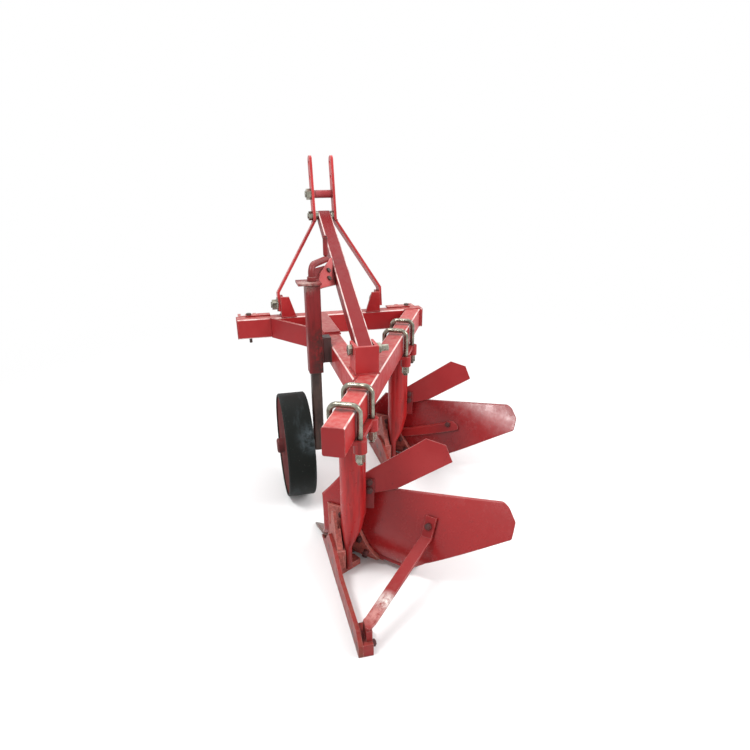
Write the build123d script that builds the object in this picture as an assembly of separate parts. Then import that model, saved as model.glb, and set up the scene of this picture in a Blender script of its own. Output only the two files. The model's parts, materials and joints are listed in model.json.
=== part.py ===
from build123d import *
import math
import os

# Two-furrow mouldboard plough for a three-point linkage. Sizes are in millimetres: X points right,
# Y along the travel and Z up, with the ground at Z = 0. Plan positions are measured from the tail of the
# main beam, and the finished model is moved so that its origin lies under the middle of its plan outline.

# Frame of rectangular tube, all beams level
beam_width = 60.0
beam_height = 80.0
beam_wall = 5.0
beam_corner = 6.0
beam_top = 570.0
beam_angle = 27.0
cross_rear = 1091.0
cross_left = -182.0
cross_length = 784.0
spine_x = 152.0
cap_thickness = 4.0
brace_plate = 12.0
brace_left = -46.0
brace_rear = 860.0
strap_rear = 800.0
strap_thickness = 10.0

# Three-point hitch: mast, its brace and the lower clevises
hitch_x = 206.0
mast_lean = 12.0
lug_half_span = 206.0
lug_plate = 12.0
lug_height = 80.0
lug_bolt_y = 1125.0
lug_inset = 2.0
lug_front_cut = 10.0
lug_bolt_rise = 46.0
lug_gusset = 10.0
lug_gusset_top = 22.0
lug_gusset_foot = 48.0
bar_thickness = 10.0
bar_width = 50.0
bar_tail = 28.0
bar_lower_bend = 47.0
bar_knee = 316.0
bar_top = 559.0
bar_round = 20.0
mast_gap = 74.0
spacer_station = 418.0
spacer_radius = 15.0
mast_bolt = 24.0
lug_washer = 4.0
lug_washer_radius = 28.0
top_link_stations = (479.0, 531.0)
top_link_hole = 19.5
brace_tube = 50.0
brace_tube_wall = 4.0
brace_head_station = 337.0
brace_pin = 20.0
brace_foot_overhang = 22.0
brace_head_overhang = 14.0
brace_drop = 10.0
socket_x = 174.0
socket_rear = 350.0
socket_depth = 75.0
socket_height = 86.0
socket_side = 10.0
socket_back = 10.0
socket_gap = 2.0
socket_bolt_y = 395.0
socket_bolt_rise = 65.0
socket_bolt_tail = 20.0
clevis_spread = 683.0
clevis_gap = 50.0
clevis_ear = 12.0
clevis_reach = 50.0
clevis_drop = 24.0
clevis_hole = 22.4
clevis_round = 22.0
clevis_plate = 10.0
clevis_foot_rise = 6.0
hitch_strap = 6.0
hitch_strap_cover = 22.0
hitch_strap_outer = 8.0
hitch_strap_inner = 92.0
hitch_bolt = 12.0
hitch_bolt_x = 5.5
hitch_bolt_inset = 13.0
hitch_bolt_tail = 16.0

# Plough bodies, placed by their legs along the main beam
body_stations = {"rear": 183.0, "front": 900.0}
leg_radius = 38.0
leg_wall = 7.0
leg_round_foot = 215.0
leg_taper_middle = 155.0
leg_flat_top = 105.0
leg_flat_foot = 26.0
leg_flat_width = 22.0
leg_flat_length = 70.0
leg_flat_x = -22.0
leg_flat_y = 3.0
saddle_plate = 12.0
saddle_drop = 38.0
saddle_margin = 6.0
boss_radius = 19.0
u_bolt_rod = 16.0
u_bolt_spacing = 143.0
u_bolt_side_gap = 3.0
u_bolt_washer = 2.5
u_bolt_bend = 22.0
u_bolt_rise = 15.0
u_bolt_tail = 8.0

# Working surfaces, measured from the leg axis. The board's straight rulings lie along the share's edge.
share_angle = 42.0
share_slope = 27.0
share_edge = 141.0
share_width = 92.0
share_thickness = 10.0
share_end = 160.0
share_tip_x = -79.0
share_tip_y = 287.0
share_nose = 14.0
share_bolt_stations = (-105.0, -55.0, -5.0)
share_bolt_back = 72.0
landside_x = -69.0
landside_thickness = 12.0
landside_rear = {"rear": -354.0, "front": -150.0}
landside_front = 200.0
landside_height = 65.0
landside_front_height = 105.0
landside_nose = 4.0
landside_bevel_run = 62.0
landside_bevel_rise = 22.0
landside_full_from = 143.0
landside_full_to = 200.0
landside_low_from = 310.0
landside_end_height = 38.0
landside_end_run = 26.0
landside_bolts = [(58.0, 55.0), (0.0, 45.0)]
landside_screw = 34.0
board_thickness = 7.0
board_joint = 43.5
board_rearmost = 34.0
board_rearmost_level = 94.8
board_breast_radius = 75.0
board_crown_radius = 500.0
board_twist = 9.5
board_crown = 265.0
board_wing_top = 289.0
board_shin_top = 197.0
board_shin_run = 56.0
board_crown_run = 208.0
board_wing_x = 402.0
board_wing_depth = 76.0
board_belly_run = 117.0
board_belly_depth = 136.0
board_wing_lean = 12.0
board_wing_bulge = (7.0, 36.0)
board_wing_round = 12.0
board_tail = (24.0, 40.5)
board_foot_inset = 10.0
board_raw_low = 32.0
board_raw_over = 40.0
board_lead_in = 60.0
board_end = 470.0
board_bolt_places = [(24.0, 60.0), (2.0, 96.0), (-66.0, 158.0)]
frog_ear = 10.0
frog_plate = 12.0
frog_wing_low = 30.0
frog_wing_top = 178.0
frog_wing_left = -40.0
frog_wing_right = 49.0
frog_floor = 6.0
frog_ear_outline = [(40, 6), (110, 6), (110, 100), (72, 130), (60, 185), (36, 200), (-25, 100), (-40, 40)]
frog_wall_outline = [(40, 6), (90, 6), (90, 104), (-30, 95), (-30, 30)]
frog_cheek = 18.0
frog_cheek_outline = [(40, 6), (90, 6), (90, 104), (60, 150), (6, 150), (-25, 100), (-40, 40)]
frog_sole_rear = -33.0
frog_sole_tip = (22.0, 13.0)
frog_sole_front = (8.0, 42.0)
seat_length = 42.0
heel_width = 28.0
heel_length = 84.0
heel_height = 38.0
heel_lug = 16.0
heel_lug_top = 72.0
heel_lug_inset = 12.0
heel_lug_length = 42.0
heel_bolts = [(23.0, 20.0), (68.0, 19.0)]
stay_width = 33.0
stay_thickness = 8.0
stay_tab = 16.0
stay_pad_low = 165.0
stay_pad_high = 222.0
stay_bolt_level = 196.0
stay_gap = 2.0
stay_station = 215.0
stay_tab_inset = 34.0
flat_stay_thickness = 10.0
flat_stay_width = 27.0
flat_stay_from = 60.0
flat_stay_low = (30.0, 123.0)
flat_stay_high = (200.0, 192.0)
flat_stay_bolt = (194.0, 190.0)
trash_thickness = 6.0
trash_corner = (136.0, 4.0, 269.0)
trash_outline = [(-104, -24), (0, 0), (160, 88), (139, 137), (80, 155), (-104, 40)]
trash_bolts = [(-82.0, -6.0), (-82.0, 20.0)]
trash_bracket_plate = 8.0
trash_plate_middle = (-99.0, -18.0)
trash_plate_size = (62.0, 88.0)
trash_block_middle = (-116.0, -12.0)
trash_block_size = (28.0, 60.0)
body_bolt = 12.0

# Depth wheel column and its screw
column_x = 67.0
column_y = 680.0
sleeve_size = 50.0
sleeve_wall = 6.5
sleeve_low = 476.0
sleeve_high = 782.0
flange_thickness = 8.0
flange_left = 50.0
flange_right = 28.0
flange_depth = 72.0
bracket_length = 44.0
bracket_low = 512.0
bracket_high = 600.0
tie_thickness = 8.0
tie_start_y = 690.0
tie_start_z = 764.0
tie_low_along = 391.0
tie_high_along = 500.0
tie_bolt = 10.0
tie_bolt_places = [(92.0, 53.0), (72.0, 24.5)]
tie_outline = [(-12, -4), (105, 0), (170, 104), (150, 98), (45, 51), (-12, 6)]
tie_lug_outline = [(-12, -4), (86, 4), (124, 44), (128, 74), (95, 76), (25, 70), (8, 46), (-12, 6)]
post_size = 36.0
post_wall = 4.0
post_low = 172.0
post_high = 570.0
screw_radius = 10.0
screw_journal = 7.0
journal_grip = 22.0
screw_foot = 500.0
screw_nut_height = 30.0
collar_radius = 17.0
collar_height = 11.0
crank_collar_radius = 15.0
crank_collar_height = 14.0
crank_arm_radius = 11.0
crank_arm_level = 841.0
crank_bend = 27.0
crank_radius = 130.0
crank_azimuth = 32.0
crank_pin = 4.5
grip_radius = 8.5
grip_length = 62.0

# Steel drum wheel and its hub
wheel_x = -21.5
wheel_radius = 191.0
wheel_width = 97.0
axle_height = 199.0
tread_thickness = 7.0
disc_thickness = 5.0
disc_inset = 5.0
axle_radius = 12.5
axle_thread = 8.0
axle_collar = 20.0
hub_radius = 27.0
hub_right = 25.5
hub_left = -59.5
hub_skirt = 24.0
hub_skirt_radius = 21.0
bush_radius = 17.0
bush_length = 30.0
cap_depth = 6.0

# Clearances
hole_gap = 0.5
thread_gap = 0.1
running_gap = 0.06
press_gap = 0.02
fit_gap = 0.3
far = 4000.0

beam_mid = beam_top - beam_height / 2
beam_low = beam_top - beam_height
cross_front = cross_rear + beam_width
turn = math.radians(beam_angle)
along_beam = Vector(math.sin(turn), math.cos(turn), 0)
across_beam = Vector(math.cos(turn), -math.sin(turn), 0)
spine_left = spine_x - beam_width / 2


def profile(points):
    """Flat face inside a closed outline of straight lines."""
    return make_face(Polyline(*points, close=True))


def rod(start, towards, length, radius):
    """Round bar from a start point along a direction."""
    return extrude(Plane(origin=start, z_dir=towards) * Circle(radius), length)


def beyond(origin, towards):
    """Everything past a plane, for cutting ends off."""
    return Plane(origin=origin, z_dir=towards) * Pos(0, 0, far / 2) * Box(far, far, far)


def box_between(low, high):
    """Box given by its lowest and highest corners."""
    return Pos(*low) * Box(*(b - a for a, b in zip(low, high)), align=Align.MIN)


def hexagon(across_flats):
    return RegularPolygon(across_flats / math.sqrt(3), 6)


def square_tube(size, wall, corner, length):
    """Square tube standing on its end."""
    bore = RectangleRounded(size - 2 * wall, size - 2 * wall, max(corner - wall, 1.0))
    return extrude(RectangleRounded(size, size, corner) - bore, length)


def stud_and_nut(start, towards, grip, size, tail=0.0):
    """Plain stud from a start point through the clamped plates, with its nut and any spare length."""
    axis = Plane(origin=start, z_dir=towards)
    nut_face = hexagon(1.5 * size) - Circle(size / 2 + thread_gap)
    nut = extrude(axis.offset(grip) * nut_face, 0.8 * size)
    return [rod(start, towards, grip + size + tail, size / 2), nut]


def bolt_and_nut(seat, towards, grip, size, tail=0.0):
    """Hex bolt with its nut; seat lies under the head, towards runs along the shank."""
    shank, nut = stud_and_nut(seat, towards, grip, size, tail)
    head = extrude(Plane(origin=seat, z_dir=towards) * hexagon(1.5 * size), -0.65 * size)
    return [head + shank, nut]


def washer(seat, towards, thickness, inner, outer):
    face = Circle(outer) - Circle(inner)
    return extrude(Plane(origin=seat, z_dir=towards) * face, thickness)


def plough_bolt(face, inward, grip, size):
    """Countersunk bolt flush with a working face, with its nut behind the plates."""
    shank, nut = stud_and_nut(face, inward, grip, size)
    sink = size / 2
    head = Plane(origin=face, z_dir=inward) * Pos(0, 0, sink / 2) * Cone(size, size / 2, sink)
    return [head + shank, nut]


def plough_hole(face, inward, grip, size):
    """Countersunk hole that clears a plough bolt."""
    axis = Plane(origin=face, z_dir=inward)
    sink = size / 2
    cone = axis * Pos(0, 0, sink / 2) * Cone(size + thread_gap, size / 2 + thread_gap, sink)
    lead = extrude(axis * Circle(size + thread_gap), -size)
    return cone + lead + rod(face, inward, grip + size, size / 2 + hole_gap)


def strip(points, thickness):
    """Outline of a bent flat bar seen on its edge, with mitred bends."""
    left, right = [], []
    for i, point in enumerate(points):
        here = Vector(*point)
        runs = []
        if i > 0:
            runs.append((here - Vector(*points[i - 1])).normalized())
        if i < len(points) - 1:
            runs.append((Vector(*points[i + 1]) - here).normalized())
        mean = (runs[0] + runs[-1]).normalized()
        side = Vector(-mean.Y, mean.X, 0)
        half = thickness / 2 / (mean.X * runs[0].X + mean.Y * runs[0].Y)
        left.append(here + side * half)
        right.append(here - side * half)
    return profile([(p.X, p.Y) for p in left + right[::-1]])


def beam_section():
    bore = RectangleRounded(
        beam_width - 2 * beam_wall, beam_height - 2 * beam_wall, max(beam_corner - beam_wall, 1.0)
    )
    return RectangleRounded(beam_width, beam_height, beam_corner) - bore


main_plane = Plane(origin=(0, 0, beam_mid), x_dir=across_beam, z_dir=along_beam)
cross_plane = Plane(
    origin=(cross_left, cross_rear + beam_width / 2, beam_mid), x_dir=(0, -1, 0), z_dir=(1, 0, 0)
)
spine_plane = Plane(origin=(spine_x, 0, beam_mid), x_dir=(1, 0, 0), z_dir=(0, 1, 0))


def frame_beams():
    """Main beam, cross beam, fore-and-aft beam, their caps, corner brace and corner strap."""
    main_length = cross_front / math.cos(turn)
    main = extrude(main_plane.offset(cap_thickness) * beam_section(), main_length)
    main -= beyond((0, cross_rear, 0), (0, 1, 0))

    cross = extrude(cross_plane.offset(cap_thickness) * beam_section(), cross_length - 2 * cap_thickness)
    for place in hitch_bolt_places():
        cross -= rod(place, (0, 0, -1), 2 * beam_height, hitch_bolt / 2 + hole_gap)

    spine = extrude(spine_plane * beam_section(), cross_rear)
    spine -= beyond(across_beam * (-beam_width / 2), across_beam)

    cap = RectangleRounded(beam_width, beam_height, beam_corner)
    caps = [
        extrude(main_plane * cap, cap_thickness),
        extrude(cross_plane * cap, cap_thickness),
        extrude(cross_plane.offset(cross_length - cap_thickness) * cap, cap_thickness),
    ]

    skew = math.atan2(cross_rear - brace_rear, spine_left - brace_left)
    corner = profile(
        [
            (brace_left, cross_rear),
            (spine_left, brace_rear),
            (spine_left, brace_rear + brace_plate / math.cos(skew)),
            (brace_left + brace_plate / math.sin(skew), cross_rear),
        ]
    )
    brace = extrude(Plane.XY.offset(beam_low) * corner, beam_height)
    strap = box_between(
        (spine_left, strap_rear, beam_top),
        (spine_left + beam_width, cross_rear, beam_top + strap_thickness),
    )
    return {
        "main_beam": main,
        "cross_beam": cross,
        "spine_beam": spine,
        "beam_caps": Compound(caps),
        "corner_brace": brace,
        "corner_strap": strap,
    }


# Mast plane: its own x runs across the hitch and its own y up along the lean, from the lug bolts.
lean = math.radians(mast_lean)
mast_plane = Plane(
    origin=(hitch_x, lug_bolt_y, beam_top + lug_bolt_rise),
    x_dir=(1, 0, 0),
    z_dir=(0, -math.cos(lean), math.sin(lean)),
)


def mast_point(across, station):
    return mast_plane.from_local_coords(Vector(across, station, 0))


def brace_pins():
    """Centres of the bolts at the foot and the head of the mast brace."""
    return Vector(socket_x, socket_bolt_y, beam_top + socket_bolt_rise), mast_point(0, brace_head_station)


def brace_plane():
    """Plane across the brace at its lower end, and the brace's length."""
    foot, pin = brace_pins()
    head = pin - Vector(0, 0, brace_drop)
    run = (head - foot).normalized()
    plane = Plane(origin=foot - run * brace_foot_overhang, x_dir=Vector(run.Y, -run.X, 0), z_dir=run)
    return plane, (head - foot).length + brace_foot_overhang + brace_head_overhang


def mast():
    """Lugs, struts, upright bars, spacer, brace, brace socket and their bolts."""
    nodes = {}
    bolts = []
    bolt_z = beam_top + lug_bolt_rise
    lug_rear = cross_rear + lug_inset
    lug_front = 2 * lug_bolt_y - lug_rear - lug_front_cut
    bar_middle = lug_half_span + bar_thickness / 2
    upright = (mast_gap + bar_thickness) / 2
    overrun = (upright + (upright - bar_middle) / 10, bar_knee + (bar_knee - bar_lower_bend) / 10)
    strut_path = [(bar_middle, -bar_tail), (bar_middle, bar_lower_bend), overrun]
    bar_holes = [(spacer_station, mast_bolt / 2 + hole_gap), (brace_head_station, brace_pin / 2 + hole_gap)]
    bar_holes += [(station, top_link_hole / 2) for station in top_link_stations]

    for name, side in (("left", -1), ("right", 1)):
        outer = hitch_x + side * lug_half_span
        inner = outer - side * lug_plate
        lug = box_between(
            (min(outer, inner), lug_rear, beam_top),
            (max(outer, inner), lug_front, beam_top + lug_height),
        )
        gusset = profile(
            [
                (inner, beam_top),
                (inner - side * lug_gusset_foot, beam_top),
                (inner - side * lug_gusset_top, beam_top + lug_height),
                (inner, beam_top + lug_height),
            ]
        )
        lug += extrude(Plane.XZ.offset(-lug_rear) * gusset, -lug_gusset)
        lug -= rod((outer + side, lug_bolt_y, bolt_z), (-side, 0, 0), lug_plate + 2, mast_bolt / 2 + hole_gap)
        nodes[f"mast_lug_{name}"] = lug

        outline = strip([(side * x, t) for x, t in strut_path], bar_thickness)
        strut = extrude(mast_plane * outline, bar_width / 2, both=True)
        strut -= beyond(mast_point(0, bar_knee), mast_plane.y_dir)
        start = mast_point(side * (bar_middle + bar_thickness), 0)
        strut -= rod(start, (-side, 0, 0), 2 * bar_thickness, mast_bolt / 2 + hole_gap)
        nodes[f"mast_strut_{name}"] = strut

        outline = strip([(side * upright, bar_knee), (side * upright, bar_top)], bar_thickness)
        bar = extrude(mast_plane * outline, bar_width / 2, both=True)
        ends = bar.edges().filter_by(Axis.X).sort_by(lambda edge: mast_plane.to_local_coords(edge.center()).Y)
        bar = fillet(ends[-2:], bar_round)
        for station, radius in bar_holes:
            start = mast_point(side * (upright + bar_thickness), station)
            bar -= rod(start, (-side, 0, 0), 2 * bar_thickness, radius)
        nodes[f"mast_bar_{name}"] = bar

    lug_stack = lug_plate + bar_thickness
    outer_left = Vector(hitch_x - lug_half_span - bar_thickness, lug_bolt_y, bolt_z)
    outer_right = Vector(hitch_x + lug_half_span + bar_thickness, lug_bolt_y, bolt_z)
    bolts.append(washer(outer_left, (-1, 0, 0), lug_washer, mast_bolt / 2 + thread_gap, lug_washer_radius))
    inner_left = outer_left + Vector(lug_stack, 0, 0)
    bolts += bolt_and_nut(inner_left, (-1, 0, 0), lug_stack + lug_washer, mast_bolt)
    bolts += stud_and_nut(outer_right, (-1, 0, 0), lug_stack, mast_bolt)

    tube = Circle(spacer_radius) - Circle(mast_bolt / 2 + hole_gap)
    spacer_start = mast_point(-mast_gap / 2, spacer_station)
    nodes["mast_spacer"] = extrude(Plane(origin=spacer_start, z_dir=(1, 0, 0)) * tube, mast_gap)

    stack = mast_gap + 2 * bar_thickness
    bolts += stud_and_nut(mast_point(stack / 2, spacer_station), (-1, 0, 0), stack, mast_bolt)
    bolts += stud_and_nut(mast_point(stack / 2, brace_head_station), (-1, 0, 0), stack, brace_pin)

    plane, length = brace_plane()
    brace = plane * square_tube(brace_tube, brace_tube_wall, beam_corner, length)
    for end in brace_pins():
        brace -= rod(end - Vector(brace_tube, 0, 0), (1, 0, 0), 2 * brace_tube, brace_pin / 2 + hole_gap)
    nodes["mast_brace"] = brace
    yaw_room = brace_tube * abs(plane.x_dir.X) / 2 + brace_tube * abs(plane.z_dir.X) / 2
    spacing = mast_gap / 2 - yaw_room
    for side in (-1, 1):
        seat = mast_point(side * mast_gap / 2, brace_head_station)
        bolts.append(
            washer(seat, (-side, 0, 0), spacing, brace_pin / 2 + thread_gap, 0.9 * brace_pin)
        )

    half = brace_tube / 2 + socket_gap + socket_side
    foot, _ = brace_pins()
    socket = box_between(
        (socket_x - half, socket_rear, beam_top),
        (socket_x + half, socket_rear + socket_depth, beam_top + socket_height),
    )
    room = half - socket_side
    socket -= box_between(
        (socket_x - room, socket_rear + socket_back, beam_top - 1),
        (socket_x + room, socket_rear + socket_depth + 1, beam_top + socket_height + 1),
    )
    socket -= rod(foot - Vector(half + 1, 0, 0), (1, 0, 0), 2 * half + 2, brace_pin / 2 + hole_gap)
    nodes["brace_socket"] = socket
    bolts += bolt_and_nut(foot - Vector(half, 0, 0), (1, 0, 0), 2 * half, brace_pin, socket_bolt_tail)
    nodes["mast_bolts"] = Compound(bolts)
    return nodes


def clevis_centres():
    return [hitch_x - clevis_spread / 2, hitch_x + clevis_spread / 2]


def hitch_bolt_places():
    """Where the bolts of the lower hitch enter the straps on the cross beam."""
    y = cross_front - hitch_bolt_inset
    left, right = clevis_centres()
    return [Vector(x, y, beam_top + hitch_strap) for x in (left + hitch_bolt_x, right - hitch_bolt_x)]


def lower_hitch():
    """Two clevises in front of the cross beam, each with a strap bolted down on the beam's top edge."""
    nodes = {}
    bolts = []
    low = beam_low + clevis_foot_rise
    pin_y = cross_front + clevis_reach
    pin_z = beam_top - clevis_drop
    half = clevis_gap / 2 + clevis_ear
    ear = profile(
        [
            (cross_front, low),
            (cross_front + clevis_plate, low),
            (pin_y, pin_z - clevis_round),
            (pin_y, pin_z + clevis_round),
            (cross_front, beam_top),
        ]
    )
    ear += Pos(pin_y, pin_z) * Circle(clevis_round)
    sides = zip(("left", "right"), clevis_centres(), (1, -1), hitch_bolt_places())
    for name, x, inward, bolt_seat in sides:
        bracket = extrude(Plane.YZ.offset(x - half) * ear, clevis_ear)
        bracket += extrude(Plane.YZ.offset(x + clevis_gap / 2) * ear, clevis_ear)
        back = cross_front + clevis_plate
        bracket += box_between((x - half, cross_front, low), (x + half, back, beam_top))
        ends = sorted((x - inward * hitch_strap_outer, x + inward * hitch_strap_inner))
        bracket += box_between(
            (ends[0], cross_front - hitch_strap_cover, beam_top), (ends[1], back, beam_top + hitch_strap)
        )
        bracket -= rod((x - half - 1, pin_y, pin_z), (1, 0, 0), 2 * half + 2, clevis_hole / 2)
        bracket -= rod(bolt_seat, (0, 0, -1), 2 * hitch_strap, hitch_bolt / 2 + hole_gap)
        nodes[f"hitch_bracket_{name}"] = bracket
        stack = hitch_strap + beam_height
        bolts += bolt_and_nut(bolt_seat, (0, 0, -1), stack, hitch_bolt, hitch_bolt_tail)
    nodes["hitch_bolts"] = Compound(bolts)
    return nodes


# Plough body, in its own frame with the leg axis at the origin.
share_turn = math.radians(share_angle)
slope = math.radians(share_slope)
edge_dir = Vector(math.sin(share_turn), -math.cos(share_turn), 0)
ahead_dir = Vector(math.cos(share_turn), math.sin(share_turn), 0)
frog_left = landside_x + landside_thickness
frog_inner = leg_flat_x - leg_flat_width / 2
shin_y = (board_rearmost - ahead_dir.X * landside_x) / ahead_dir.Y
shin_station = edge_dir.dot(Vector(landside_x, shin_y, 0))
board_start = shin_station - board_lead_in


def station_plane(station):
    """Upright plane across the rulings: its x points ahead of the board and its y up."""
    return Plane(origin=edge_dir * station, x_dir=ahead_dir, z_dir=edge_dir)


def board_reach(level):
    """How far the board's back lies ahead of the leg at the shin, at a height above the ground."""
    radius = board_breast_radius if level < board_rearmost_level else board_crown_radius
    return board_rearmost + radius - math.sqrt(radius**2 - (level - board_rearmost_level) ** 2)


def board_lead(level):
    """Extra reach per millimetre along the rulings, as the board twists towards its wing."""
    return math.tan(math.radians(board_twist * (level - board_joint) / (board_crown - board_joint)))


def board_back(station, level):
    return board_reach(level) + board_lead(level) * (station - shin_station)


def board_point(station, level, offset):
    """Point of the board's section, offset ahead of its back along the section's normal."""
    rise = 0.5
    lean_here = (board_back(station, level + rise) - board_back(station, level - rise)) / (2 * rise)
    size = math.hypot(1, lean_here)
    return board_back(station, level) + offset / size, level - offset * lean_here / size


def board_curve(station, offset, low, high):
    """Points up the board's section at one offset from its back."""
    steps = 12
    return [board_point(station, low + (high - low) * i / steps, offset) for i in range(steps + 1)]


def board_layer(near, ahead, low, high):
    """Ruled layer between two offsets from the board's back."""
    sections = []
    for station in (board_start, board_end):
        back = board_curve(station, near, low, high)
        front = board_curve(station, ahead, low, high)[::-1]
        outline = Spline(*back) + Line(back[-1], front[0]) + Spline(*front) + Line(front[-1], back[0])
        sections.append(station_plane(station) * make_face(outline))
    return loft(sections, ruled=True)


def board_front(near, low, high):
    """All the space ahead of an offset from the board's back."""
    sections = []
    for station in (board_start, board_end):
        back = board_curve(station, near, low, high)
        room = max(v for v, _ in back) + far / 10
        outline = Spline(*back) + Polyline(back[-1], (room, high), (room, low), back[0])
        sections.append(station_plane(station) * make_face(outline))
    return loft(sections, ruled=True)


def share_points():
    """Share section: cutting edge, top rear corner, bottom rear corner and end of the ground land."""
    edge = Vector(share_edge, 0)
    top = edge + Vector(-math.cos(slope), math.sin(slope)) * share_width
    bottom = top - Vector(math.sin(slope), math.cos(slope)) * share_thickness
    land = edge - Vector(share_thickness / math.sin(slope), 0)
    return edge, top, bottom, land


def on_share(station, from_edge, depth):
    """Point on the share, back from its cutting edge along the slope and down into it."""
    edge = share_points()[0]
    p = edge + Vector(-math.cos(slope), math.sin(slope)) * from_edge
    p -= Vector(math.sin(slope), math.cos(slope)) * depth
    return edge_dir * station + ahead_dir * p.X + Vector(0, 0, p.Y)


def share_down():
    return -(ahead_dir * math.sin(slope) + Vector(0, 0, math.cos(slope)))


def on_board(station, level, offset=board_thickness):
    """Point on the board, on its front face unless another offset from its back is given."""
    v, z = board_point(station, level, offset)
    return edge_dir * station + ahead_dir * v + Vector(0, 0, z)


def board_inward(station, level):
    return (on_board(station, level, 0) - on_board(station, level)).normalized()


def share_and_board_bolts():
    """Where plough bolts enter the working faces, their direction and the plates they clamp."""
    places = [
        (on_share(s, share_bolt_back, 0), share_down(), share_thickness + fit_gap + frog_plate)
        for s in share_bolt_stations
    ]
    places += [
        (on_board(s, z), board_inward(s, z), board_thickness + 4 * fit_gap + frog_plate)
        for s, z in board_bolt_places
    ]
    return places


def leg():
    """Pipe leg: round under the saddle, pressed flat at its foot."""
    saddle_face = beam_low - saddle_plate
    round_face = Plane.XY.offset(leg_round_foot) * Circle(leg_radius)
    half_length = leg_radius + leg_flat_length / 2
    half_width = leg_radius * 1.2 + leg_flat_width / 2
    half_flat = Pos(leg_flat_x / 3, leg_flat_y / 2) * SlotOverall(half_length, half_width, rotation=90)
    flat = Pos(leg_flat_x, leg_flat_y) * SlotOverall(leg_flat_length, leg_flat_width, rotation=90)
    pipe = extrude(round_face, saddle_face - leg_round_foot)
    pipe -= rod((0, 0, leg_round_foot + leg_wall), (0, 0, 1), saddle_face, leg_radius - leg_wall)
    middle_face = Plane.XY.offset(leg_taper_middle) * half_flat
    pressed = loft([Plane.XY.offset(leg_flat_top) * flat, middle_face], ruled=True)
    pressed += loft([middle_face, round_face], ruled=True)
    foot = extrude(Plane.XY.offset(leg_flat_foot) * flat, leg_flat_top - leg_flat_foot)
    return pipe + pressed + foot


def clamp():
    """Saddle under the beam, its U-bolts over the beam and their nuts, turned to the beam."""
    to_beam = Rot(0, 0, -beam_angle)
    arm = beam_width / 2 + u_bolt_rod / 2 + u_bolt_side_gap
    half = u_bolt_spacing / 2
    plate_low = beam_low - saddle_plate
    seats = {-arm: plate_low, arm: beam_low - saddle_drop}
    corners = [(x, y, seats[x]) for x in seats for y in (-half, half)]
    plate = RectangleRounded(2 * (arm + saddle_margin), u_bolt_spacing + 2 * boss_radius, boss_radius / 2)
    saddle = extrude(Plane.XY.offset(plate_low) * plate, saddle_plate)
    for x, y, seat in corners:
        saddle += rod((x, y, seat), (0, 0, 1), beam_low - seat, boss_radius)
    for x, y, seat in corners:
        saddle -= rod((x, y, seat - 1), (0, 0, 1), saddle_drop + 2, u_bolt_rod / 2 + hole_gap)

    nut_height = 0.8 * u_bolt_rod
    below_seat = u_bolt_washer + 2 * nut_height + u_bolt_tail
    crown = beam_top + u_bolt_rise
    u_bolts, nuts = [], []
    for y in (-half, half):
        start = (-arm, y, seats[-arm] - below_seat)
        end = (arm, y, seats[arm] - below_seat)
        path = FilletPolyline(start, (-arm, y, crown), (arm, y, crown), end, radius=u_bolt_bend)
        u_bolts.append(sweep(Plane(origin=start, z_dir=(0, 0, 1)) * Circle(u_bolt_rod / 2), path))
    nut_face = hexagon(1.5 * u_bolt_rod) - Circle(u_bolt_rod / 2 + thread_gap)
    for x, y, seat in corners:
        nuts.append(washer((x, y, seat), (0, 0, -1), u_bolt_washer, u_bolt_rod / 2 + thread_gap, u_bolt_rod))
        for i in range(2):
            level = seat - u_bolt_washer - i * nut_height
            nuts.append(extrude(Plane(origin=(x, y, level), z_dir=(0, 0, -1)) * nut_face, nut_height))
    return to_beam * saddle, [to_beam * u for u in u_bolts], [to_beam * n for n in nuts]


def share():
    """Flat share with a ground land under its cutting edge and a blunt side-cutting tip."""
    section = profile([(p.X, p.Y) for p in share_points()])
    reach = 2 * abs(share_tip_x) + share_tip_y
    blade = extrude(station_plane(-reach) * section, reach + share_end)
    joint_y = (share_points()[1].X - ahead_dir.X * landside_x) / ahead_dir.Y
    tip = Vector(share_tip_x, share_tip_y, 0)
    side = (Vector(landside_x, joint_y, 0) - tip).normalized()
    blade -= beyond(tip, Vector(side.Y, -side.X, 0))
    blade -= beyond(tip - Vector(0, share_nose, 0), (0, 1, 0))
    for face, inward, grip in share_and_board_bolts()[: len(share_bolt_stations)]:
        blade -= plough_hole(face, inward, grip, body_bolt)
    return blade


def stay_line():
    """Plan start and heading of the stay, from the heel to the back of the board."""
    tab = Vector(frog_left + heel_width - heel_lug / 2, landside_rear["rear"] + stay_tab_inset, 0)
    target = edge_dir * stay_station + ahead_dir * board_back(stay_station, stay_bolt_level)
    return tab, (target - tab).normalized()


def stay_reach(level):
    """Distance along the stay at which its middle stands just clear of the board's back."""
    tab, run = stay_line()
    side = Vector(run.Y, -run.X, 0) * (stay_width / 2)
    lead = board_lead(level)
    reaches = []
    for start in (tab - side, tab + side):
        gap = board_reach(level) + lead * (start.dot(edge_dir) - shin_station) - start.dot(ahead_dir)
        reaches.append(gap / (run.dot(ahead_dir) - lead * run.dot(edge_dir)))
    return min(reaches) - stay_gap - 0.6 * stay_thickness


def stay_bolt():
    """Where the stay's bolt leaves the front of the board, its way back and the plates it clamps."""
    tab, run = stay_line()
    low, high = (run * stay_reach(z) + Vector(0, 0, z) for z in (stay_pad_low, stay_pad_high))
    share_up = (stay_bolt_level - stay_pad_low) / (stay_pad_high - stay_pad_low)
    middle = tab + low + (high - low) * share_up
    inward = (high - low).cross(Vector(run.Y, -run.X, 0)).normalized()
    if inward.dot(run) > 0:
        inward = -inward
    depth = 0.0
    for _ in range(8):
        point = middle - inward * depth
        depth -= point.dot(ahead_dir) - board_back(point.dot(edge_dir), point.Z)
    depth += board_thickness
    return middle - inward * depth, inward, depth + stay_thickness / 2


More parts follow.
